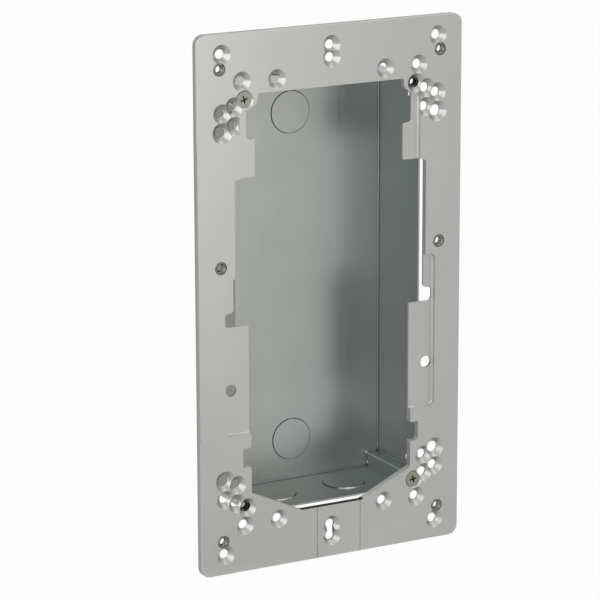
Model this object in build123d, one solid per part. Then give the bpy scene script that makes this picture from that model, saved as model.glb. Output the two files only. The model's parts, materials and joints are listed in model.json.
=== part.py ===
from build123d import *
import math
import os

# Flush-mounted back box of an intercom: a galvanised sheet-steel box behind a milled aluminium
# front plate. Millimetres. The origin is the centre of the plate's rear face, the face that
# seats on the wall. +X is right seen from the front, +Y goes into the wall, +Z is up.

# Front plate
PLATE_WIDTH = 174.0
PLATE_HEIGHT = 320.0
PLATE_THICKNESS = 4.0
PLATE_CORNER_RADIUS = 6.0
PLATE_EDGE_BREAK = 0.35

# Screw holes: each has a 90 degree cone that ends in a short straight hole
SMALL_HOLE = 5.5
SMALL_CONE = 11.4
LARGE_HOLE = 6.6
LARGE_CONE = 12.6
STRAP_HOLE = 7.0
CENTRE_SLOT_WIDTH = 4.8

# Hole places: from the plate's side and end edges, or outwards and upwards from the box screw
WALL_HOLE_FROM_EDGES = (16.3, 11.9)
CENTRE_HOLE_FROM_END = 12.0
CENTRE_HOLE_SPACING = 7.4
SMALL_HOLES_FROM_SCREW = [(1.7, 10.8), (-20.8, 10.3), (6.8, -3.5), (14.3, -6.8), (6.5, -14.7)]
LARGE_HOLE_FROM_SCREW = (14.3, -17.9)
STRAP_HOLE_FROM_EDGE = 21.6
STRAP_HOLE_HEIGHT = -49.3

# Opening in the plate: half widths, and heights above the plate's centre
OPENING_TOP = 124.2
OPENING_TOP_HALF = 47.7
OPENING_TOP_CORNER = (48.4, 118.6)
OPENING_SLANT_END = (54.3, 114.8)
UPPER_TAB_HALF = 48.8
UPPER_TAB_TOP = 97.5
UPPER_TAB_BOTTOM = 75.5
OPENING_HALF = 63.3
SIDE_NOTCH_HALF = 69.0
SIDE_NOTCH_TOP = -3.4
LOWER_TAB_HALF = 53.5
LOWER_TAB_TOP = -11.6
LOWER_TAB_BOTTOM = -84.8
LOWER_NOTCH_HALF = 58.9
LOWER_NOTCH_BOTTOM = -96.4
OPENING_FOOT_CORNER = -112.8
OPENING_FOOT_START = (50.0, -114.2)
OPENING_FOOT_HALF = 20.0
OPENING_BOTTOM = -128.2
OPENING_WIDE_ROUND = 2.6
OPENING_SMALL_ROUND = 1.0

# Pockets milled into the front face, where the plate is thinner
POCKET_DEPTH = 2.6
POCKET_CORNER_RADIUS = 3.0
POCKET_FLOOR_RADIUS = 1.0
UPPER_POCKET_HALF = 59.3
UPPER_POCKET_TOP = 115.0
LOWER_POCKET_HALF = 70.0
LOWER_POCKET_TOP = 17.4
LOWER_POCKET_BOTTOM = -76.3

# Scored lines from the opening down to the plate's bottom edge
SCORE_PLACES = (-9.9, 19.1)
SCORE_WIDTH = 0.6
SCORE_DEPTH = 0.25

# Sheet-steel box, folded from one blank, with a channel notched along each corner
SHEET = 1.0
BOX_WIDTH = 122.8
BOX_HEIGHT = 253.0
BOX_DEPTH = 48.0
BEND_INNER_RADIUS = 0.6
CHANNEL_WIDTH = 8.0
CHANNEL_HEIGHT = 8.6
CHANNEL_SLIT = 0.8
BEND_RELIEF = 2.0
BEND_RELIEF_SETBACK = 2.4

# Tab at the front of each channel, with a tapped collar drawn out of it
TAB_GAP = 0.4
COLLAR_FROM_CHANNEL = (2.9, 3.1)
COLLAR_OUTER = 5.6
COLLAR_LENGTH = 3.0
THREAD_BORE = 4.3

# Knock-out discs, half punched inwards: a groove goes round each but for two webs, over a thin skin
KNOCKOUT = 25.0
KNOCKOUT_GROOVE = 0.45
KNOCKOUT_SKIN = 0.55
KNOCKOUT_WEB = 2.4
KNOCKOUT_LIFT = 0.4
BACK_KNOCKOUT_HEIGHT = 100.6
END_KNOCKOUT_SPACING = 47.0
END_KNOCKOUT_DEPTH = 24.0

# A small round hole near each end of the box's side walls
SIDE_HOLE = 3.0
SIDE_HOLE_DEPTH = 12.6
SIDE_HOLE_HEIGHT = 111.6

# Threaded inserts: headed bushes pressed into the plate from behind, flush with both its faces
INSERT_SHANK = 7.6
INSERT_HEAD = 10.0
INSERT_HEAD_THICKNESS = 1.2
INSERT_BORE = 4.2
INSERT_LEAD_IN = 0.5
INSERT_CLEARANCE = 0.05
INSERT_FROM_EDGES = (14.7, 20.3)
MIDDLE_INSERT_HEIGHT = 24.8

# Countersunk screws that hold the plate to the box
SCREW_HEAD = 9.3
SCREW_HEAD_RIM = 0.2
SCREW_LENGTH = 14.0
SCREW_POINT = 0.7
THREAD_CLEARANCE = 0.05
RECESS_WIDTH = 4.5
RECESS_SLOT = 1.1
RECESS_DEPTH = 2.2
RECESS_FLOOR_SHARE = 0.5
SCREW_TURNS = {"top_left": 16.0, "bottom_right": 11.0}

# The box screw of the top right corner; the other three mirror it
BOX_SCREW_PLACE = (
    BOX_WIDTH / 2 - CHANNEL_WIDTH + COLLAR_FROM_CHANNEL[0],
    BOX_HEIGHT / 2 - CHANNEL_HEIGHT + COLLAR_FROM_CHANNEL[1],
)

# The plane of a front view: X to the right, Z up, its normal towards the viewer
FRONT_VIEW = Plane(origin=(0, 0, 0), x_dir=(1, 0, 0), z_dir=(0, -1, 0))


def four_corners(place):
    x, z = place
    return [(side * x, end * z) for side in (-1, 1) for end in (-1, 1)]


def from_edges(distances):
    """A place in the plate's top right corner, from its distances to the side and end edges."""
    return (PLATE_WIDTH / 2 - distances[0], PLATE_HEIGHT / 2 - distances[1])


def from_screw(offset):
    """A place in the top right corner, from its distance outwards and upwards of the box screw."""
    return (BOX_SCREW_PLACE[0] + offset[0], BOX_SCREW_PLACE[1] + offset[1])


def slab(face, front, rear):
    """A front-view outline as a solid from y = front back to y = rear."""
    return Pos(0, front, 0) * extrude(FRONT_VIEW * face, amount=front - rear)


def bar(diameter, front, rear, place):
    """A round bar parallel to Y at a place given as X and Z."""
    return slab(Pos(*place) * Circle(diameter / 2), front, rear)


def cone_depth(cone, hole):
    """How deep a 90 degree cone goes before it narrows to the hole."""
    return (cone - hole) / 2


def cone(wide, narrow, front, place):
    """A 90 degree cone that narrows from y = front into the wall."""
    depth = cone_depth(wide, narrow)
    solid = Cone(bottom_radius=narrow / 2, top_radius=wide / 2, height=depth)
    return Pos(place[0], front + depth / 2, place[1]) * Rot(90, 0, 0) * solid


def countersunk_hole(hole, wide, place):
    """The cutter of one countersunk hole through the plate."""
    return cone(wide, hole, -PLATE_THICKNESS, place) + bar(hole, -PLATE_THICKNESS, 0, place)


def round_corners(face, places, radius):
    """Round those corners of a flat outline that lie at the given places."""
    chosen = [v for v in face.vertices() if any(math.dist((v.X, v.Y), p) < 0.01 for p in places)]
    return fillet(chosen, radius)


def opening_outline():
    """The opening's right half with its rounded corners, joined to its mirror image."""
    top_corners = [(OPENING_TOP_HALF, OPENING_TOP), OPENING_TOP_CORNER, OPENING_SLANT_END]
    upper_tab = [
        (OPENING_SLANT_END[0], UPPER_TAB_TOP),
        (UPPER_TAB_HALF, UPPER_TAB_TOP),
        (UPPER_TAB_HALF, UPPER_TAB_BOTTOM),
    ]
    side_notch = [
        (OPENING_HALF, UPPER_TAB_BOTTOM),
        (OPENING_HALF, SIDE_NOTCH_TOP),
        (SIDE_NOTCH_HALF, SIDE_NOTCH_TOP),
        (SIDE_NOTCH_HALF, LOWER_TAB_TOP),
    ]
    lower_tab = [(LOWER_TAB_HALF, LOWER_TAB_TOP), (LOWER_TAB_HALF, LOWER_TAB_BOTTOM)]
    lower_notch = [
        (LOWER_NOTCH_HALF, LOWER_TAB_BOTTOM),
        (LOWER_NOTCH_HALF, LOWER_NOTCH_BOTTOM),
        (LOWER_TAB_HALF, LOWER_NOTCH_BOTTOM),
    ]
    foot = [
        (LOWER_TAB_HALF, OPENING_FOOT_CORNER),
        OPENING_FOOT_START,
        (OPENING_FOOT_HALF, OPENING_BOTTOM),
    ]
    corners = top_corners + upper_tab + side_notch + lower_tab + lower_notch + foot
    half = make_face(Polyline((0, OPENING_TOP), *corners, (0, OPENING_BOTTOM), close=True))
    wide = upper_tab[:1] + side_notch
    half = round_corners(half, wide, OPENING_WIDE_ROUND)
    small = top_corners + upper_tab[1:] + lower_tab + lower_notch + foot
    half = round_corners(half, small, OPENING_SMALL_ROUND)
    return half + mirror(half, about=Plane.YZ)


def pocket(half_width, top, bottom):
    """A milled pocket with rounded corners and a rounded edge round its floor."""
    floor = -PLATE_THICKNESS + POCKET_DEPTH
    outline = Pos(0, (top + bottom) / 2) * RectangleRounded(
        2 * half_width, top - bottom, POCKET_CORNER_RADIUS
    )
    solid = slab(outline, -PLATE_THICKNESS, floor)
    rim = [e for e in solid.edges() if abs(e.center().Y - floor) < 0.01]
    return fillet(rim, POCKET_FLOOR_RADIUS)


def centre_holes():
    """Two countersunk holes at the top centre, and the same two joined to a slot below."""
    far = PLATE_HEIGHT / 2 - CENTRE_HOLE_FROM_END
    near = far - CENTRE_HOLE_SPACING
    heights = (near, far, -near, -far)
    cutters = [countersunk_hole(SMALL_HOLE, SMALL_CONE, (0, height)) for height in heights]
    slot = Pos(0, -(near + far) / 2) * Rectangle(CENTRE_SLOT_WIDTH, far - near)
    cutters.append(slab(slot, -PLATE_THICKNESS, 0))
    return cutters


def score_line(x):
    length = PLATE_HEIGHT / 2 + OPENING_BOTTOM
    middle = (OPENING_BOTTOM - PLATE_HEIGHT / 2) / 2
    line = Pos(x, middle) * Rectangle(SCORE_WIDTH, length)
    return slab(line, -PLATE_THICKNESS, -PLATE_THICKNESS + SCORE_DEPTH)


def insert_seat(place):
    """The stepped hole that a headed insert is pressed into from behind."""
    hole = bar(INSERT_SHANK + 2 * INSERT_CLEARANCE, -PLATE_THICKNESS, 0, place)
    return hole + bar(INSERT_HEAD + 2 * INSERT_CLEARANCE, -INSERT_HEAD_THICKNESS, 0, place)


def insert_places():
    x, z = from_edges(INSERT_FROM_EDGES)
    places = {}
    for side, sign in (("left", -1), ("right", 1)):
        places["top_" + side] = (sign * x, z)
        places["middle_" + side] = (sign * x, MIDDLE_INSERT_HEIGHT)
        places["bottom_" + side] = (sign * x, -z)
    return places


def make_plate():
    outline = RectangleRounded(PLATE_WIDTH, PLATE_HEIGHT, PLATE_CORNER_RADIUS)
    plate = slab(outline, -PLATE_THICKNESS, 0)
    rim = [e for e in plate.edges() if abs(e.center().Y + PLATE_THICKNESS) < 0.01]
    plate = chamfer(rim, PLATE_EDGE_BREAK)
    plate -= slab(opening_outline(), -PLATE_THICKNESS, 0)
    plate -= pocket(UPPER_POCKET_HALF, UPPER_POCKET_TOP, UPPER_TAB_BOTTOM - POCKET_CORNER_RADIUS)
    plate -= pocket(LOWER_POCKET_HALF, LOWER_POCKET_TOP, LOWER_POCKET_BOTTOM)
    cutters = centre_holes()
    small = [from_edges(WALL_HOLE_FROM_EDGES), BOX_SCREW_PLACE]
    small += [from_screw(offset) for offset in SMALL_HOLES_FROM_SCREW]
    for place in small:
        cutters += [countersunk_hole(SMALL_HOLE, SMALL_CONE, p) for p in four_corners(place)]
    for place in four_corners(from_screw(LARGE_HOLE_FROM_SCREW)):
        cutters.append(countersunk_hole(LARGE_HOLE, LARGE_CONE, place))
    for side in (-1, 1):
        place = (side * (PLATE_WIDTH / 2 - STRAP_HOLE_FROM_EDGE), STRAP_HOLE_HEIGHT)
        cutters.append(bar(STRAP_HOLE, -PLATE_THICKNESS, 0, place))
    cutters += [insert_seat(place) for place in insert_places().values()]
    cutters += [score_line(x) for x in SCORE_PLACES]
    return plate - cutters


def rounded_block(width, height, rear, radius):
    """A block from the plate's rear face to y = rear, with all but its front edges rounded."""
    block = slab(Rectangle(width, height), 0, rear)
    edges = [e for e in block.edges() if e.center().Y > 0.01]
    return fillet(edges, radius)


def box_form(inset, radius):
    """The notched outer or inner form of the box, set in from its outside by a distance."""
    width = BOX_WIDTH - 2 * inset
    height = BOX_HEIGHT - 2 * inset
    rear = BOX_DEPTH - inset
    wide = rounded_block(width, height - 2 * CHANNEL_HEIGHT, rear, radius)
    tall = rounded_block(width - 2 * CHANNEL_WIDTH, height, rear, radius)
    return wide + tall


def corner_tab(place):
    """The tab in front of a channel: bent out of the channel's side, with a drawn collar."""
    side = math.copysign(1, place[0])
    end = math.copysign(1, place[1])
    inner_x = BOX_WIDTH / 2 - CHANNEL_WIDTH - SHEET
    outer_x = BOX_WIDTH / 2 - TAB_GAP
    inner_z = BOX_HEIGHT / 2 - CHANNEL_HEIGHT + TAB_GAP
    outer_z = BOX_HEIGHT / 2 - SHEET
    centre = (side * (inner_x + outer_x) / 2, end * (inner_z + outer_z) / 2)
    outline = Pos(*centre) * Rectangle(outer_x - inner_x, outer_z - inner_z)
    return slab(outline, 0, SHEET) + bar(COLLAR_OUTER, 0, SHEET + COLLAR_LENGTH, place)


def tab_bend(side, end):
    """What is cut from a tab's square front corner to leave its bend rounded."""
    radius = BEND_INNER_RADIUS + SHEET
    corner_x = BOX_WIDTH / 2 - CHANNEL_WIDTH - SHEET
    low_z = BOX_HEIGHT / 2 - CHANNEL_HEIGHT
    height = CHANNEL_HEIGHT - SHEET
    square = Pos(corner_x + radius / 2, radius / 2) * Rectangle(radius, radius)
    profile = square - Pos(corner_x + radius, radius) * Circle(radius)
    cutter = extrude(Pos(0, 0, low_z) * profile, amount=height)
    if side < 0:
        cutter = mirror(cutter, about=Plane.YZ)
    if end < 0:
        cutter = mirror(cutter, about=Plane.XY)
    return cutter


def knockout_groove():
    """The groove round a knock-out disc, drawn flat, with its two webs left standing."""
    ring = Circle(KNOCKOUT / 2 + KNOCKOUT_GROOVE) - Circle(KNOCKOUT / 2)
    return ring - Rectangle(KNOCKOUT_WEB, 2 * KNOCKOUT)


def knockouts(outline, low, high):
    """An outline as solids at all six knock-outs, from low to high outwards of the inner face."""
    inner_z = BOX_HEIGHT / 2 - SHEET
    inner_y = BOX_DEPTH - SHEET
    solids = []
    for side in (-1, 1):
        place = Pos(side * END_KNOCKOUT_SPACING / 2, END_KNOCKOUT_DEPTH, inner_z + low)
        top = extrude(place * outline, amount=high - low)
        solids += [top, mirror(top, about=Plane.XY)]
        back = Pos(0, side * BACK_KNOCKOUT_HEIGHT) * outline
        solids.append(slab(back, inner_y + low, inner_y + high))
    return solids


def channel_cuts(side, end):
    """What frees the two sides of a channel from the back: a slit, and a round relief at each bend."""
    inner_x = BOX_WIDTH / 2 - SHEET
    inner_z = BOX_HEIGHT / 2 - SHEET
    inside = BOX_DEPTH - SHEET
    corner = Rectangle(CHANNEL_WIDTH, CHANNEL_HEIGHT)
    corner = Pos(side * (inner_x - CHANNEL_WIDTH / 2), end * (inner_z - CHANNEL_HEIGHT / 2)) * corner
    slit = slab(corner, inside - CHANNEL_SLIT, inside)
    relief = Cylinder(BEND_RELIEF / 2, 2 * SHEET)
    y = inside - CHANNEL_SLIT
    x = side * (inner_x - BEND_RELIEF_SETBACK)
    across = Pos(x, y, end * (inner_z - CHANNEL_HEIGHT + SHEET / 2)) * relief
    z = end * (inner_z - BEND_RELIEF_SETBACK)
    upright = Pos(side * (inner_x - CHANNEL_WIDTH + SHEET / 2), y, z) * Rot(0, 90, 0) * relief
    return [slit, across, upright]


def make_box():
    outside = box_form(0, BEND_INNER_RADIUS + SHEET)
    box = outside - box_form(SHEET, BEND_INNER_RADIUS)
    box = box + [corner_tab(place) for place in four_corners(BOX_SCREW_PLACE)]
    cutters = [bar(THREAD_BORE, 0, SHEET + COLLAR_LENGTH, p) for p in four_corners(BOX_SCREW_PLACE)]
    for side, end in four_corners((1, 1)):
        cutters += channel_cuts(side, end)
        cutters.append(tab_bend(side, end))
    for end in (-1, 1):
        side_holes = Rot(0, 90, 0) * Cylinder(SIDE_HOLE / 2, BOX_WIDTH)
        cutters.append(Pos(0, SIDE_HOLE_DEPTH, end * SIDE_HOLE_HEIGHT) * side_holes)
    disc = Circle(KNOCKOUT / 2)
    cutters += knockouts(knockout_groove(), 0, SHEET - KNOCKOUT_SKIN)
    cutters += knockouts(disc, SHEET - KNOCKOUT_LIFT, SHEET)
    return box - cutters + knockouts(disc, -KNOCKOUT_LIFT, 0)


def make_insert(place):
    """A bush with a head at the rear, bored for its thread, with a lead-in at the front."""
    bush = bar(INSERT_SHANK, -PLATE_THICKNESS, 0, place)
    bush += bar(INSERT_HEAD, -INSERT_HEAD_THICKNESS, 0, place)
    bush -= bar(INSERT_BORE, -PLATE_THICKNESS, 0, place)
    front = [e for e in bush.edges() if abs(e.center().Y + PLATE_THICKNESS) < 0.01]
    mouth = [e for e in front if e.radius < INSERT_SHANK / 2 - 0.01]
    return chamfer(mouth, INSERT_LEAD_IN)


def cross_recess(front, place, turn):
    """The screw's driving recess, which narrows evenly to its floor."""
    cross = Rectangle(RECESS_WIDTH, RECESS_SLOT) + Rectangle(RECESS_SLOT, RECESS_WIDTH)
    cross = Rot(0, 0, turn) * cross
    mouth = Pos(0, front, 0) * (FRONT_VIEW * (Pos(*place) * cross))
    floor = scale(cross, by=RECESS_FLOOR_SHARE)
    floor = Pos(0, front + RECESS_DEPTH, 0) * (FRONT_VIEW * (Pos(*place) * floor))
    return loft([mouth.face(), floor.face()], ruled=True)


def make_screw(place, turn):
    """A countersunk screw, seated where the plate's cone is as wide as its head."""
    shank = THREAD_BORE - 2 * THREAD_CLEARANCE
    seat = -PLATE_THICKNESS + cone_depth(SMALL_CONE, SCREW_HEAD)
    top = seat - SCREW_HEAD_RIM
    tip = top + SCREW_LENGTH
    screw = bar(shank, seat, tip, place)
    screw = chamfer([e for e in screw.edges() if abs(e.center().Y - tip) < 0.01], SCREW_POINT)
    screw += bar(SCREW_HEAD, top, seat, place)
    screw += cone(SCREW_HEAD, shank, seat, place)
    return screw - cross_recess(top, place, turn)


def corner_place(name, place):
    """Where a corner piece lies, from its name and the distances from the centre."""
    end, side = name.split("_")
    x = place[0] if side == "right" else -place[0]
    z = place[1] if end == "top" else -place[1]
    return (x, z)


pieces = {"front_plate": make_plate(), "back_box": make_box()}
for name, place in insert_places().items():
    pieces["insert_" + name] = make_insert(place)
for name, turn in SCREW_TURNS.items():
    pieces["screw_" + name] = make_screw(corner_place(name, BOX_SCREW_PLACE), turn)

os.makedirs("parts", exist_ok=True)
for name, solid in pieces.items():
    export_step(solid, "parts/" + name + ".step")
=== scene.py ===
import bmesh
import bpy
import json
import math
from mathutils import Matrix, Vector

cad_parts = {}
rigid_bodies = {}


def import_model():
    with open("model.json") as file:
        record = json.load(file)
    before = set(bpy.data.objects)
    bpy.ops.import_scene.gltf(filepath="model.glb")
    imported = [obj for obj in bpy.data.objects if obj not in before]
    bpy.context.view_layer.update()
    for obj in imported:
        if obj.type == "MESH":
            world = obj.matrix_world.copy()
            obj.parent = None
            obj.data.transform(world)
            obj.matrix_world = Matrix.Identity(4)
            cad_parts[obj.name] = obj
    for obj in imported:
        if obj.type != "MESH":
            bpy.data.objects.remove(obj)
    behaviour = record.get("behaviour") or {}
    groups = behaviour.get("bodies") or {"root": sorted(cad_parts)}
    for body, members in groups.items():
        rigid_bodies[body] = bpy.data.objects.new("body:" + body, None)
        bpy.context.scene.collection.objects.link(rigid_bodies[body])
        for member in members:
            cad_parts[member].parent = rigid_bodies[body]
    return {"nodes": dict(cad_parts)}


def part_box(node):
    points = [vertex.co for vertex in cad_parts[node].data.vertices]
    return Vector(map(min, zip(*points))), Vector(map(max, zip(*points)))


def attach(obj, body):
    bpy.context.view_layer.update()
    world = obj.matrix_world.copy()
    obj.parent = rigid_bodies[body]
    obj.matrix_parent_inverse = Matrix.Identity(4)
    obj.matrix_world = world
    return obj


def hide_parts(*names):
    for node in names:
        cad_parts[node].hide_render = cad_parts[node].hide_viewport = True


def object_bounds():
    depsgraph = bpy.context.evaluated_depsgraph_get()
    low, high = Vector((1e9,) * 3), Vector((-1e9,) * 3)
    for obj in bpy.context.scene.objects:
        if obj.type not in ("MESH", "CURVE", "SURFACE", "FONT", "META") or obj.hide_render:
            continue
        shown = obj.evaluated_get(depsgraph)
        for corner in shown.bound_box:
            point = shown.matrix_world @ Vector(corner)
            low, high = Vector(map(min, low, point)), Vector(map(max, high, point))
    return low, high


for startup_object in list(bpy.data.objects):
    bpy.data.objects.remove(startup_object)

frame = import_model()
cad_low, cad_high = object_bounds()


# Front plate.
# One aluminium plate, sawn and milled to shape, with countersunk screw holes and two shallow
# pockets. It is clear anodised, and two of its corner holes hold the screws to the box.

# Sizes are in millimetres, but the floor, the lamps and the camera's place are in metres.
MM = 0.001
PLATE_CORNER = 6
PLATE_RIM = 1
POCKETS_FROM_CENTRE = 57.5
POCKETS_MIDDLE = 7.5
POCKETS_REACH = 85.5
FOOT_BELOW = 127.5
FOOT_HALF_WIDTH = 22
STRAP_HOLE_ACROSS = 65.4
STRAP_HOLE_UP = 49.3
STRAP_HOLE_REACH = 4
BOX_SCREW_ACROSS = 56.3
BOX_SCREW_UP = 121.0
BOX_SCREW_BORE_REACH = 3
BORE_REACH = 5

ANODISED_GREY = "#AFAFAB"
ANODISED_SHADE = "#A7A7A4"
RIM_GREY_AND_FOOT_SHADE = "#9E9E9A"
CUT_BRIGHT = "#D8DAD5"
BORE_SHADE_GREY = "#6E6E6C"
FOOT_SHADE = "#3E3E3D"
DEEP_HOLE_SHADE = "#1E1E1D"
SHADE_PATCH = 45
ROLLING_LINE = 0.5
ROLLING_LINE_LENGTH = 30
ETCH_GRAIN = 0.35
ETCH_DEPTH = 0.03
ETCH_STRENGTH = 0.2
CUTTER_RING = 0.6
CUTTER_RING_HEIGHT = 3
ETCHED_ROUGHNESS = (0.38, 0.46)
TURNED_ROUGHNESS = 0.33
SAWN_ROUGHNESS = 0.55

# Where a mask begins and where it is full. Facing is 1 on the plate's faces, 0 on its walls and
# 0.71 on the countersinks. Openness is 1 in the open and 0 where all is closed in.
CONE_FACING = 0.71
CONE_OFF_FACING = (0.05, 0.02)
WALL_FACING = (0.66, 0.56)
POCKET_FOOT_FACING = (0.98, 0.90)
BORE_OPENNESS = (0.55, 0.42)


def linear(hex_colour):
    """An sRGB hex value as the linear colour that the nodes take."""
    channels = []
    for first_digit in (1, 3, 5):
        value = int(hex_colour[first_digit:first_digit + 2], 16) / 255
        if value <= 0.04045:
            channels.append(value / 12.92)
        else:
            channels.append(((value + 0.055) / 1.055) ** 2.4)
    return (*channels, 1)


def per_metre(size):
    """How many marks of that many millimetres fit in a metre, which is a pattern's scale."""
    return 1 / (size * MM)


def new_material(name):
    """An empty node material and its tree."""
    material = bpy.data.materials.new(name)
    material.use_nodes = True
    material.node_tree.nodes.clear()
    return material, material.node_tree


def add(tree, kind, inputs, **settings):
    """Adds a node with its settings. An input that is a socket is linked, any other is a value."""
    made = tree.nodes.new(kind)
    for name, value in settings.items():
        setattr(made, name, value)
    for key, value in inputs.items():
        if isinstance(value, bpy.types.NodeSocket):
            tree.links.new(value, made.inputs[key])
        else:
            made.inputs[key].default_value = value
    return made


def tinted(tree, hex_colour, tints):
    """A colour with tints laid over it in turn, each by its share from 0 to 1."""
    colour = linear(hex_colour)
    for share, tint in tints:
        colour = add(
            tree, "ShaderNodeMix", {"Factor": share, 6: colour, 7: linear(tint)},
            data_type="RGBA",
        ).outputs[2]
    return colour


def near_axis(tree, place, across, up, radius):
    """1 within a radius of four lines along Y, so far to either side and so far up or down."""
    away = add(tree, "ShaderNodeVectorMath", {0: place}, operation="ABSOLUTE").outputs[0]
    away = add(
        tree, "ShaderNodeVectorMath", {0: away, 1: (across * MM, 0, up * MM)},
        operation="SUBTRACT",
    ).outputs[0]
    away = add(
        tree, "ShaderNodeVectorMath", {0: away, 1: (1, 0, 1)}, operation="MULTIPLY"
    ).outputs[0]
    distance = add(tree, "ShaderNodeVectorMath", {0: away}, operation="LENGTH").outputs["Value"]
    return add(
        tree, "ShaderNodeMath", {0: distance, 1: radius * MM}, operation="LESS_THAN"
    ).outputs[0]


def finish_node(node_name, material):
    """Gives a CAD node its detailed material."""
    for material_slot in frame["nodes"][node_name].material_slots:
        material_slot.material = material


# Clear anodised aluminium: a satin grey from the etch before anodising, with faint lines from
# rolling. The sawn rim is duller and darker, and the rounded foot of the pockets' walls is duller
# and painted darker, a painted shade in the pockets' corners. The walls of the opening and the
# pockets are coloured brighter. The bores are painted dark, a painted shade inside them, and the
# bores of the box screws are painted darkest, a painted shade deep in the holes. The opening's foot
# is painted dark, a painted reflection of the box's shaded underside. The countersinks are turned
# smoother, so they catch the lamps. The etch grain, the rolling lines and the cutter's rings are
# finer than a pixel on the real plate, and are drawn coarser to show.
aluminium, tree = new_material("clear_anodised_aluminium")
place = add(tree, "ShaderNodeTexCoord", {}).outputs["Object"]
from_origin = add(tree, "ShaderNodeSeparateXYZ", {0: place}).outputs
out_from_centre = add(tree, "ShaderNodeMath", {0: from_origin["X"]}, operation="ABSOLUTE").outputs[0]
normal = add(tree, "ShaderNodeNewGeometry", {}).outputs["Normal"]
facing = add(tree, "ShaderNodeSeparateXYZ", {0: normal}).outputs["Y"]
facing = add(tree, "ShaderNodeMath", {0: facing}, operation="ABSOLUTE").outputs[0]

# The rim lies further out than the rest, measured from the plate's core, which is the plate less
# its corner radius all round. The core is a metre deep, so that depth doesn't count.
core = (cad_high.x - PLATE_CORNER * MM, 1, cad_high.z - PLATE_CORNER * MM)
beyond = add(tree, "ShaderNodeVectorMath", {0: place}, operation="ABSOLUTE").outputs[0]
beyond = add(tree, "ShaderNodeVectorMath", {0: beyond, 1: core}, operation="SUBTRACT").outputs[0]
beyond = add(
    tree, "ShaderNodeVectorMath", {0: beyond, 1: (0, 0, 0)}, operation="MAXIMUM"
).outputs[0]
reach = add(tree, "ShaderNodeVectorMath", {0: beyond}, operation="LENGTH").outputs["Value"]
inside_rim = add(
    tree, "ShaderNodeMath", {0: reach, 1: (PLATE_CORNER - PLATE_RIM) * MM},
    operation="LESS_THAN",
).outputs[0]

# The countersinks slope at 45 degrees.
off_cone = add(
    tree, "ShaderNodeMath", {0: facing, 1: CONE_FACING}, operation="SUBTRACT"
).outputs[0]
off_cone = add(tree, "ShaderNodeMath", {0: off_cone}, operation="ABSOLUTE").outputs[0]
sloping = add(
    tree, "ShaderNodeMapRange", {0: off_cone, 1: CONE_OFF_FACING[0], 2: CONE_OFF_FACING[1]}
).outputs[0]
turned = add(
    tree, "ShaderNodeMath", {0: sloping, 1: inside_rim}, operation="MULTIPLY"
).outputs[0]

# Beside the opening, where the pockets are, only the rounded foot of their walls slopes. The foot
# takes the rim's darker grey, a painted shade in the pockets' corners.
far_out = add(
    tree, "ShaderNodeMath", {0: out_from_centre, 1: POCKETS_FROM_CENTRE * MM},
    operation="GREATER_THAN",
).outputs[0]
at_height = add(
    tree, "ShaderNodeMath",
    {0: from_origin["Z"], 1: POCKETS_MIDDLE * MM, 2: POCKETS_REACH * MM},
    operation="COMPARE",
).outputs[0]
by_pockets = add(
    tree, "ShaderNodeMath", {0: far_out, 1: at_height}, operation="MULTIPLY"
).outputs[0]
off_flat = add(
    tree, "ShaderNodeMapRange", {0: facing, 1: POCKET_FOOT_FACING[0], 2: POCKET_FOOT_FACING[1]}
).outputs[0]
pocket_foot_shade = add(
    tree, "ShaderNodeMath", {0: off_flat, 1: by_pockets}, operation="MULTIPLY"
).outputs[0]

# Walls stand edge on to the front: the sawn rim, and what is cut inside it.
edge_on = add(
    tree, "ShaderNodeMapRange", {0: facing, 1: WALL_FACING[0], 2: WALL_FACING[1]}
).outputs[0]
dull_rim_and_foot_shade = add(
    tree, "ShaderNodeMath", {0: edge_on, 1: pocket_foot_shade}, operation="MAXIMUM"
).outputs[0]
cut_inside = add(
    tree, "ShaderNodeMath", {0: edge_on, 1: inside_rim}, operation="MULTIPLY"
).outputs[0]

# Bores are closed in, and are painted dark there, a painted shade, but the two plain strap holes in
# the lower pockets are too wide and too short for that, so they are found by their place.
openness = add(
    tree, "ShaderNodeAmbientOcclusion", {"Distance": BORE_REACH * MM},
    samples=8, only_local=True,
).outputs["AO"]
enclosed_shade = add(
    tree, "ShaderNodeMapRange", {0: openness, 1: BORE_OPENNESS[0], 2: BORE_OPENNESS[1]}
).outputs[0]
strap_hole = near_axis(tree, place, STRAP_HOLE_ACROSS, STRAP_HOLE_UP, STRAP_HOLE_REACH)
lower_half = add(
    tree, "ShaderNodeMath", {0: from_origin["Z"], 1: 0}, operation="LESS_THAN"
).outputs[0]
strap_hole = add(
    tree, "ShaderNodeMath", {0: strap_hole, 1: lower_half}, operation="MULTIPLY"
).outputs[0]
bore_shade = add(
    tree, "ShaderNodeMath", {0: enclosed_shade, 1: strap_hole}, operation="MAXIMUM"
).outputs[0]
in_bore_shade = add(
    tree, "ShaderNodeMath", {0: cut_inside, 1: bore_shade}, operation="MULTIPLY"
).outputs[0]
# The bores of the box screws are painted black, a painted shade deep in the holes.
box_screw_bore_shade = near_axis(
    tree, place, BOX_SCREW_ACROSS, BOX_SCREW_UP, BOX_SCREW_BORE_REACH
)

# The opening's foot is its bottom wall, and the bores near it aren't part of it. The foot is painted
# dark, a painted reflection of the box's shaded underside.
below = add(
    tree, "ShaderNodeMath", {0: from_origin["Z"], 1: -FOOT_BELOW * MM}, operation="LESS_THAN"
).outputs[0]
near_middle = add(
    tree, "ShaderNodeMath", {0: out_from_centre, 1: FOOT_HALF_WIDTH * MM},
    operation="LESS_THAN",
).outputs[0]
at_foot = add(
    tree, "ShaderNodeMath", {0: below, 1: near_middle}, operation="MULTIPLY"
).outputs[0]
open_foot = add(
    tree, "ShaderNodeMath", {0: at_foot, 1: enclosed_shade}, operation="SUBTRACT", use_clamp=True
).outputs[0]
foot = add(
    tree, "ShaderNodeMath", {0: open_foot, 1: cut_inside}, operation="MULTIPLY"
).outputs[0]

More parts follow.
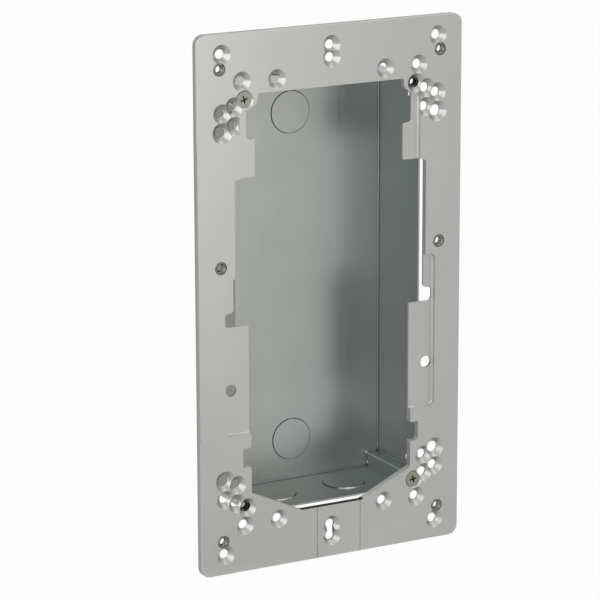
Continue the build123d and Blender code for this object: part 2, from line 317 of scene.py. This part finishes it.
patches = add(
    tree, "ShaderNodeTexNoise",
    {"Vector": place, "Scale": per_metre(SHADE_PATCH), "Detail": 3},
).outputs[0]
colour = tinted(tree, ANODISED_GREY, [
    (patches, ANODISED_SHADE), (dull_rim_and_foot_shade, RIM_GREY_AND_FOOT_SHADE), (cut_inside, CUT_BRIGHT), (in_bore_shade, BORE_SHADE_GREY),
    (foot, FOOT_SHADE), (box_screw_bore_shade, DEEP_HOLE_SHADE),
])

stretched = add(
    tree, "ShaderNodeMapping",
    {"Vector": place, "Scale": (per_metre(ROLLING_LINE), per_metre(ROLLING_LINE),
                                per_metre(ROLLING_LINE_LENGTH))},
).outputs[0]
rolling = add(
    tree, "ShaderNodeTexNoise", {"Vector": stretched, "Scale": 1, "Detail": 2}
).outputs[0]
roughness = add(
    tree, "ShaderNodeMapRange", {0: rolling, 3: ETCHED_ROUGHNESS[0], 4: ETCHED_ROUGHNESS[1]}
).outputs[0]
roughness = add(
    tree, "ShaderNodeMix", {"Factor": turned, 2: roughness, 3: TURNED_ROUGHNESS}
).outputs[0]
roughness = add(
    tree, "ShaderNodeMix", {"Factor": dull_rim_and_foot_shade, 2: roughness, 3: SAWN_ROUGHNESS}
).outputs[0]

etch = add(
    tree, "ShaderNodeTexNoise", {"Vector": place, "Scale": per_metre(ETCH_GRAIN), "Detail": 2}
).outputs[0]
rings = add(
    tree, "ShaderNodeTexNoise",
    {"W": from_origin["Y"], "Scale": per_metre(CUTTER_RING), "Detail": 1}, noise_dimensions="1D",
).outputs[0]
rings = add(
    tree, "ShaderNodeMath", {0: rings, 1: CUTTER_RING_HEIGHT}, operation="MULTIPLY"
).outputs[0]
height = add(tree, "ShaderNodeMix", {"Factor": turned, 2: etch, 3: rings}).outputs[0]
relief = add(
    tree, "ShaderNodeBump",
    {"Strength": ETCH_STRENGTH, "Distance": ETCH_DEPTH * MM, "Height": height},
).outputs[0]
surface = add(
    tree, "ShaderNodeBsdfPrincipled",
    {"Base Color": colour, "Metallic": 1.0, "Roughness": roughness, "Normal": relief},
).outputs[0]
add(tree, "ShaderNodeOutputMaterial", {"Surface": surface})

finish_node("front_plate", aluminium)


# Back box.
# One sheet of 1 mm galvanised steel, punched, folded into a tray and left unwelded. Its corner
# tabs have drawn and tapped collars, which the plate's screws go into.

FOLD_REACH = 1.7
CHANNEL_EDGE_ACROSS = 52.4
CHANNEL_EDGE_UP = 116.9
CHANNEL_EDGE_REACH = 0.5
KNOCKOUTS_BELOW = 124.5
TAPPED_RADIUS = 2.4
OUTSIDE_FROM_CENTRE = 61.2

ZINC_GREY = "#A3A5A1"
ZINC_SHADE = "#979A97"
ZINC_PAINTED_CAST = "#9EA3A2"
ZINC_LOW_LIGHT = "#A9AEAD"
FOLD_SHADE = "#333736"
ZINC_HIGHLIGHT = "#FAFCFB"
SIDE_SHADE = "#81847F"
ZINC_PATCH = 26
ZINC_GRAIN = 0.8
ZINC_GRAIN_DEPTH = 0.03
ZINC_GRAIN_STRENGTH = 0.15
SHEET_LINE = 0.9
SHEET_LINE_LENGTH = 60
ZINC_ROUGHNESS = (0.29, 0.38)

# Where a mask begins and where it is full: across and up from the origin, in depth and in openness.
CAST_ACROSS = (10, 50)
LOW_RIGHT_ACROSS = (-30, 40)
LOW_UP = (-50, -110)
KNOCKOUT_FRONT_DEPTH = (16, 13.5)
FOLD_OPENNESS = (0.90, 0.56)

# Galvanised steel: a smooth coat of zinc, cool grey and a little cloudy, with faint lines along
# the sheet's rolling direction. Towards the right wall it is painted a bluish, slightly darker cast,
# standing in for the walls' reflections there, and low down there it is painted brighter, a painted
# light. It mirrors softly, so the box's inside shows its own walls. Folds and grooves are painted
# dark, a painted shade, and the inner edges of the lower channels and the fronts of the bottom
# knock-outs are painted near white, painted highlights. The side walls are painted darker outside,
# a painted shade, and the tapped collars' bores are painted black, a painted shade deep in the
# holes. The grain and the sheet's lines are drawn coarser than they are, to show.
zinc, tree = new_material("smooth_galvanised_steel")
place = add(tree, "ShaderNodeTexCoord", {}).outputs["Object"]
from_origin = add(tree, "ShaderNodeSeparateXYZ", {0: place}).outputs
clouds = add(
    tree, "ShaderNodeTexNoise", {"Vector": place, "Scale": per_metre(ZINC_PATCH), "Detail": 4}
).outputs[0]
# A bluish, slightly darker cast is painted towards the right wall, standing in for the walls'
# reflections there, and a painted light low down on the right.
to_right = add(
    tree, "ShaderNodeMapRange", {0: from_origin["X"], 1: CAST_ACROSS[0] * MM, 2: CAST_ACROSS[1] * MM}
).outputs[0]
low_down = add(
    tree, "ShaderNodeMapRange", {0: from_origin["Z"], 1: LOW_UP[0] * MM, 2: LOW_UP[1] * MM}
).outputs[0]
low_right_light = add(
    tree, "ShaderNodeMapRange",
    {0: from_origin["X"], 1: LOW_RIGHT_ACROSS[0] * MM, 2: LOW_RIGHT_ACROSS[1] * MM},
).outputs[0]
low_right_light = add(
    tree, "ShaderNodeMath", {0: low_right_light, 1: low_down}, operation="MULTIPLY"
).outputs[0]

# Folds and grooves are closed in over a short reach, and are painted dark there, a painted shade.
openness = add(
    tree, "ShaderNodeAmbientOcclusion", {"Distance": FOLD_REACH * MM},
    samples=8, only_local=True,
).outputs["AO"]
in_fold_shade = add(
    tree, "ShaderNodeMapRange", {0: openness, 1: FOLD_OPENNESS[0], 2: FOLD_OPENNESS[1]}
).outputs[0]

# The lower channels' inner edges and the front of the bottom knock-outs' grooves get painted
# highlights, near white.
channel_edge = near_axis(
    tree, place, CHANNEL_EDGE_ACROSS, CHANNEL_EDGE_UP, CHANNEL_EDGE_REACH
)
channel_edge_highlight = add(
    tree, "ShaderNodeMath", {0: channel_edge, 1: low_down}, operation="MULTIPLY"
).outputs[0]
on_bottom = add(
    tree, "ShaderNodeMath", {0: from_origin["Z"], 1: -KNOCKOUTS_BELOW * MM}, operation="LESS_THAN"
).outputs[0]
in_front = add(
    tree, "ShaderNodeMapRange",
    {0: from_origin["Y"], 1: KNOCKOUT_FRONT_DEPTH[0] * MM, 2: KNOCKOUT_FRONT_DEPTH[1] * MM},
).outputs[0]
knockout_groove_highlight = add(
    tree, "ShaderNodeMath", {0: on_bottom, 1: in_front}, operation="MULTIPLY"
).outputs[0]
knockout_groove_highlight = add(
    tree, "ShaderNodeMath", {0: knockout_groove_highlight, 1: in_fold_shade}, operation="MULTIPLY"
).outputs[0]

# The collars' tapped bores are painted black, a painted shade deep in the holes, and the side walls
# are painted darker outside, a painted shade.
tapped = near_axis(tree, place, BOX_SCREW_ACROSS, BOX_SCREW_UP, TAPPED_RADIUS)
out_from_centre = add(tree, "ShaderNodeMath", {0: from_origin["X"]}, operation="ABSOLUTE").outputs[0]
outside = add(
    tree, "ShaderNodeMath", {0: out_from_centre, 1: OUTSIDE_FROM_CENTRE * MM},
    operation="GREATER_THAN",
).outputs[0]

colour = tinted(tree, ZINC_GREY, [
    (clouds, ZINC_SHADE), (to_right, ZINC_PAINTED_CAST), (low_right_light, ZINC_LOW_LIGHT), (in_fold_shade, FOLD_SHADE),
    (channel_edge_highlight, ZINC_HIGHLIGHT), (knockout_groove_highlight, ZINC_HIGHLIGHT), (outside, SIDE_SHADE),
    (tapped, DEEP_HOLE_SHADE),
])

stretched = add(
    tree, "ShaderNodeMapping",
    {"Vector": place, "Scale": (per_metre(SHEET_LINE), per_metre(SHEET_LINE),
                                per_metre(SHEET_LINE_LENGTH))},
).outputs[0]
lines = add(
    tree, "ShaderNodeTexNoise", {"Vector": stretched, "Scale": 1, "Detail": 2}
).outputs[0]
roughness = add(
    tree, "ShaderNodeMapRange", {0: lines, 3: ZINC_ROUGHNESS[0], 4: ZINC_ROUGHNESS[1]}
).outputs[0]
grain = add(
    tree, "ShaderNodeTexNoise", {"Vector": place, "Scale": per_metre(ZINC_GRAIN), "Detail": 3}
).outputs[0]
relief = add(
    tree, "ShaderNodeBump",
    {"Strength": ZINC_GRAIN_STRENGTH, "Distance": ZINC_GRAIN_DEPTH * MM, "Height": grain},
).outputs[0]
surface = add(
    tree, "ShaderNodeBsdfPrincipled",
    {"Base Color": colour, "Metallic": 1.0, "Roughness": roughness, "Normal": relief},
).outputs[0]
add(tree, "ShaderNodeOutputMaterial", {"Surface": surface})

finish_node("back_box", zinc)

# The thread tapped in each collar is seen where the photograph shows no screw in it.
EMPTY_COLLARS = {"top_right": (1, 1), "bottom_left": (-1, -1)}
COLLAR_BORE = 4.3
COLLAR_THREAD_FROM = 0.4
COLLAR_THREAD_TO = 3.6
COLLAR_THREAD_DEPTH = 0.3
THREAD_PITCH = 0.8
RIDGE_FOOT_WIDTH = 0.6
RIDGE_CREST_WIDTH = 0.12
RIDGE_SUNK = 0.08
TURN_SEGMENTS = 40
SHARP_EDGE_DEGREES = 38


def piece_from_mesh(name, vertices, faces, material):
    """A piece on the root body from vertices in metres, smooth but for its sharp edges."""
    mesh = bpy.data.meshes.new(name)
    mesh.from_pydata(vertices, [], faces)
    shape = bmesh.new()
    shape.from_mesh(mesh)
    bmesh.ops.recalc_face_normals(shape, faces=shape.faces)
    shape.to_mesh(mesh)
    shape.free()
    mesh.polygons.foreach_set("use_smooth", [True] * len(mesh.polygons))
    mesh.set_sharp_from_angle(angle=math.radians(SHARP_EDGE_DEGREES))
    mesh.materials.append(material)
    piece = bpy.data.objects.new(name, mesh)
    bpy.context.scene.collection.objects.link(piece)
    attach(piece, "root")
    return piece


def wound_ridge(name, centre, start, end, foot, crest, material):
    """A thread's ridge from a foot radius to a crest radius, wound from start to end along Y."""
    steps = round((end - start) / THREAD_PITCH * TURN_SEGMENTS)
    vertices = []
    for step in range(steps + 1):
        along = start + (end - start) * step / steps
        angle = math.tau * step / TURN_SEGMENTS
        run_out = min(1, step / TURN_SEGMENTS, (steps - step) / TURN_SEGMENTS)
        top = foot + (crest - foot) * run_out
        section = [
            (foot, -RIDGE_FOOT_WIDTH / 2), (top, -RIDGE_CREST_WIDTH / 2),
            (top, RIDGE_CREST_WIDTH / 2), (foot, RIDGE_FOOT_WIDTH / 2),
        ]
        for radius, offset in section:
            vertices.append((
                centre[0] + radius * MM * math.cos(angle),
                (along + offset) * MM,
                centre[1] + radius * MM * math.sin(angle),
            ))
    faces = [(0, 1, 2, 3), tuple(4 * steps + corner for corner in (3, 2, 1, 0))]
    for step in range(steps):
        for corner in range(4):
            next_corner = (corner + 1) % 4
            faces.append((
                4 * step + corner, 4 * step + next_corner,
                4 * (step + 1) + next_corner, 4 * (step + 1) + corner,
            ))
    return piece_from_mesh(name, vertices, faces, material)


for corner_name, (side, end) in EMPTY_COLLARS.items():
    collar_thread = wound_ridge(
        "thread_in_collar_" + corner_name,
        (side * BOX_SCREW_ACROSS * MM, end * BOX_SCREW_UP * MM),
        COLLAR_THREAD_FROM, COLLAR_THREAD_TO,
        COLLAR_BORE / 2 + RIDGE_SUNK, COLLAR_BORE / 2 - COLLAR_THREAD_DEPTH, zinc,
    )


# Threaded inserts.
# Six headed steel bushes, turned and tapped M5, and pressed into the plate from behind until
# they lie flush with both its faces.

INSERT_NODES = [
    "insert_" + height_name + "_" + side_name
    for height_name in ("top", "middle", "bottom") for side_name in ("left", "right")
]
INSERT_SHANK = 7.6
INSERT_HEAD = 10.0
INSERT_HEAD_THICKNESS = 1.2
INSERT_BORE = 4.2
INSERT_MOUTH = 0.5
INSERT_EDGE = 0.35
THREAD_DEPTH = 0.4
THREAD_FLAT_SHARE = 0.15
BORE_STEP = 0.1
ROUND_SEGMENTS = 64


def thread_height(along, turn):
    """Height of the thread's flank, 0 at its root to 1 at its crest, with small flats at both."""
    phase = (along / THREAD_PITCH - turn) % 1
    flank = (abs(2 * phase - 1) - THREAD_FLAT_SHARE) / (1 - 2 * THREAD_FLAT_SHARE)
    return min(max(flank, 0), 1)


def bush_rows(front, rear):
    """The bush's surface as closed rows of radii, down the tapped bore and back up its outside."""
    rows = []
    steps = round((rear - front) / BORE_STEP)
    for step in range(steps + 1):
        along = front + step * BORE_STEP
        mouth = INSERT_BORE / 2 + INSERT_MOUTH - (along - front)
        radii = []
        for segment in range(ROUND_SEGMENTS):
            root = INSERT_BORE / 2 + THREAD_DEPTH
            flank = root - THREAD_DEPTH * thread_height(along, segment / ROUND_SEGMENTS)
            radii.append(max(flank, mouth))
        rows.append((along, radii))
    outside = [
        (rear, INSERT_HEAD / 2),
        (rear - INSERT_HEAD_THICKNESS, INSERT_HEAD / 2),
        (rear - INSERT_HEAD_THICKNESS, INSERT_SHANK / 2),
        (front + INSERT_EDGE, INSERT_SHANK / 2),
        (front, INSERT_SHANK / 2 - INSERT_EDGE),
    ]
    for along, radius in outside:
        rows.append((along, [radius] * ROUND_SEGMENTS))
    return rows


def tapped_bush(name, node_name, material):
    """The bush with its real thread, where the CAD has the plain one."""
    low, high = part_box(node_name)
    centre = (low + high) / 2
    vertices = []
    rows = bush_rows(low.y / MM, high.y / MM)
    for along, radii in rows:
        for segment, radius in enumerate(radii):
            angle = math.tau * segment / ROUND_SEGMENTS
            vertices.append((
                centre.x + radius * MM * math.cos(angle),
                along * MM,
                centre.z + radius * MM * math.sin(angle),
            ))
    faces = []
    for row in range(len(rows)):
        here = row * ROUND_SEGMENTS
        there = (row + 1) % len(rows) * ROUND_SEGMENTS
        for segment in range(ROUND_SEGMENTS):
            following = (segment + 1) % ROUND_SEGMENTS
            faces.append((here + segment, here + following, there + following, there + segment))
    return piece_from_mesh(name, vertices, faces, material)


# Plated turned steel: darker and shinier than the plate, slightly warm, and mottled where oil
# from the press has stayed on it.
INSERT_DARK = "#2C2A28"
INSERT_LIGHT = "#9C9994"
INSERT_MOTTLE = 1.2
INSERT_ROUGHNESS = (0.15, 0.30)

bush_steel, tree = new_material("turned_plated_steel")
place = add(tree, "ShaderNodeTexCoord", {}).outputs["Object"]
mottle = add(
    tree, "ShaderNodeTexNoise",
    {"Vector": place, "Scale": per_metre(INSERT_MOTTLE), "Detail": 3},
).outputs[0]
colour = tinted(tree, INSERT_DARK, [(mottle, INSERT_LIGHT)])
roughness = add(
    tree, "ShaderNodeMapRange", {0: mottle, 3: INSERT_ROUGHNESS[0], 4: INSERT_ROUGHNESS[1]}
).outputs[0]
surface = add(
    tree, "ShaderNodeBsdfPrincipled",
    {"Base Color": colour, "Metallic": 1.0, "Roughness": roughness},
).outputs[0]
add(tree, "ShaderNodeOutputMaterial", {"Surface": surface})

for node_name in INSERT_NODES:
    bush = tapped_bush("tapped_" + node_name, node_name, bush_steel)
    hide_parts(node_name)


# Box screws.
# Two M5 countersunk cross-recess screws of zinc-plated steel, cold headed with rolled threads.
# They hold the plate to the collars of the box, and the CAD has them with a plain shank.

SCREW_NODES = ["screw_top_left", "screw_bottom_right"]
SHANK = 4.2
THREAD_FROM_TOP = 3.0
THREAD_FROM_TIP = 0.8
RIDGE_HEIGHT = 0.35


def rolled_thread(name, node_name, material):
    """The thread round the shank of a screw node."""
    low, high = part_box(node_name)
    centre = (low + high) / 2
    return wound_ridge(
        name, (centre.x, centre.z), low.y / MM + THREAD_FROM_TOP, high.y / MM - THREAD_FROM_TIP,
        SHANK / 2 - RIDGE_SUNK, SHANK / 2 + RIDGE_HEIGHT, material,
    )


# Zinc-plated steel with a faint yellow passivation: a dull, slightly warm and mottled shine.
SCREW_LIGHT = "#A1A094"
SCREW_SHADE = "#727166"
SCREW_MOTTLE = 1.6
SCREW_MOTTLE_DEPTH = 0.05
SCREW_MOTTLE_STRENGTH = 0.3
SCREW_ROUGHNESS = (0.28, 0.45)

plated, tree = new_material("passivated_zinc_plate")
place = add(tree, "ShaderNodeTexCoord", {}).outputs["Object"]
mottle = add(
    tree, "ShaderNodeTexNoise",
    {"Vector": place, "Scale": per_metre(SCREW_MOTTLE), "Detail": 3},
).outputs[0]
colour = tinted(tree, SCREW_LIGHT, [(mottle, SCREW_SHADE)])
roughness = add(
    tree, "ShaderNodeMapRange", {0: mottle, 3: SCREW_ROUGHNESS[0], 4: SCREW_ROUGHNESS[1]}
).outputs[0]
relief = add(
    tree, "ShaderNodeBump",
    {"Strength": SCREW_MOTTLE_STRENGTH, "Distance": SCREW_MOTTLE_DEPTH * MM, "Height": mottle},
).outputs[0]
surface = add(
    tree, "ShaderNodeBsdfPrincipled",
    {"Base Color": colour, "Metallic": 1.0, "Roughness": roughness, "Normal": relief},
).outputs[0]
add(tree, "ShaderNodeOutputMaterial", {"Surface": surface})

for node_name in SCREW_NODES:
    finish_node(node_name, plated)
    ridge = rolled_thread("thread_of_" + node_name, node_name, plated)


# Floor and surrounding.
# A plain pale studio floor, which the plate stands on, in front of an even white surrounding.

FLOOR_WHITE = "#F2F2F1"
FLOOR_HALF_SIZE = 3.0
FLOOR_GLOW = 0.95
WORLD_FILL = 0.5


def white_where_seen(tree):
    """1 for rays from the camera, a mirroring surface or glass, and 0 for rays that give light."""
    seen = add(tree, "ShaderNodeLightPath", {}).outputs
    mirrored = add(
        tree, "ShaderNodeMath",
        {0: seen["Is Glossy Ray"], 1: seen["Is Transmission Ray"]}, operation="MAXIMUM",
    ).outputs[0]
    return add(
        tree, "ShaderNodeMath", {0: seen["Is Camera Ray"], 1: mirrored}, operation="MAXIMUM"
    ).outputs[0]


# Matt white board: it is lit as written, and shows nearly white to the camera and in reflections.
board, tree = new_material("matt_white_board")
glow = add(
    tree, "ShaderNodeMath", {0: white_where_seen(tree), 1: FLOOR_GLOW}, operation="MULTIPLY"
).outputs[0]
matt = add(tree, "ShaderNodeBsdfDiffuse", {"Color": linear(FLOOR_WHITE)}).outputs[0]
white = add(tree, "ShaderNodeEmission", {"Color": (1, 1, 1, 1), "Strength": 1.0}).outputs[0]
surface = add(tree, "ShaderNodeMixShader", {0: glow, 1: matt, 2: white}).outputs[0]
add(tree, "ShaderNodeOutputMaterial", {"Surface": surface})

floor_mesh = bpy.data.meshes.new("studio_floor")
floor_corners = [
    (side * FLOOR_HALF_SIZE, end * FLOOR_HALF_SIZE, cad_low.z)
    for side, end in ((-1, -1), (1, -1), (1, 1), (-1, 1))
]
floor_mesh.from_pydata(floor_corners, [], [(0, 1, 2, 3)])
floor_mesh.materials.append(board)
floor = bpy.data.objects.new("studio_floor", floor_mesh)
bpy.context.scene.collection.objects.link(floor)

world = bpy.data.worlds.new("white_surrounding")
world.use_nodes = True
tree = world.node_tree
tree.nodes.clear()
strength = add(
    tree, "ShaderNodeMapRange", {0: white_where_seen(tree), 3: WORLD_FILL, 4: 1.0}
).outputs[0]
white = add(
    tree, "ShaderNodeBackground", {"Color": (1, 1, 1, 1), "Strength": strength}
).outputs[0]
add(tree, "ShaderNodeOutputWorld", {"Surface": white})
bpy.context.scene.world = world


# Studio light.
# Three soft boxes: a tall one in front, which the satin plate mirrors at its upper left, one at
# the left and one above, which light the countersinks from the side and from the top.

def aimed(position, target, roll=0):
    """A lamp's or camera's place, looking at a target and then rolled by some degrees."""
    towards = Vector(target) - Vector(position)
    turn = towards.to_track_quat("-Z", "Y").to_matrix().to_4x4()
    return Matrix.Translation(position) @ turn @ Matrix.Rotation(math.radians(roll), 4, "Z")


def soft_box(name, position, target, width, height, watts):
    """A rectangular lamp at a position, turned to its target, that the camera can't see."""
    lamp = bpy.data.lights.new(name, "AREA")
    lamp.shape = "RECTANGLE"
    lamp.size = width
    lamp.size_y = height
    lamp.energy = watts
    lamp_object = bpy.data.objects.new(name, lamp)
    lamp_object.matrix_world = aimed(position, target)
    lamp_object.visible_camera = False
    bpy.context.scene.collection.objects.link(lamp_object)


soft_box(
    "front_soft_box", position=(0.0, -0.7, 0.13), target=(0, 0, 0.03),
    width=0.28, height=0.66, watts=1.75,
)
soft_box(
    "left_soft_box", position=(-0.85, -0.52, 0.45), target=(0, 0, 0),
    width=0.4, height=1.2, watts=2.6,
)
soft_box(
    "top_soft_box", position=(0.5, -0.27, 0.9), target=(0, 0, 0),
    width=0.6, height=0.6, watts=1.0,
)


# Camera.
# The photograph's view, found from the plate's corners and holes: from the left, slightly above.

CAMERA_PLACE = (-0.83795, -1.51857, 0.43933)
CAMERA_TARGET = (-0.01901, 0.0, -0.00116)
CAMERA_ROLL = -0.1662
CAMERA_LENS = 183.54
CAMERA_SENSOR = 36

camera_data = bpy.data.cameras.new("photograph_view")
camera_data.lens = CAMERA_LENS
camera_data.sensor_width = CAMERA_SENSOR
camera = bpy.data.objects.new("photograph_view", camera_data)
camera.matrix_world = aimed(CAMERA_PLACE, CAMERA_TARGET, CAMERA_ROLL)
bpy.context.scene.collection.objects.link(camera)
bpy.context.scene.camera = camera
bpy.context.scene.view_settings.view_transform = "Standard"

bpy.context.view_layer.update()
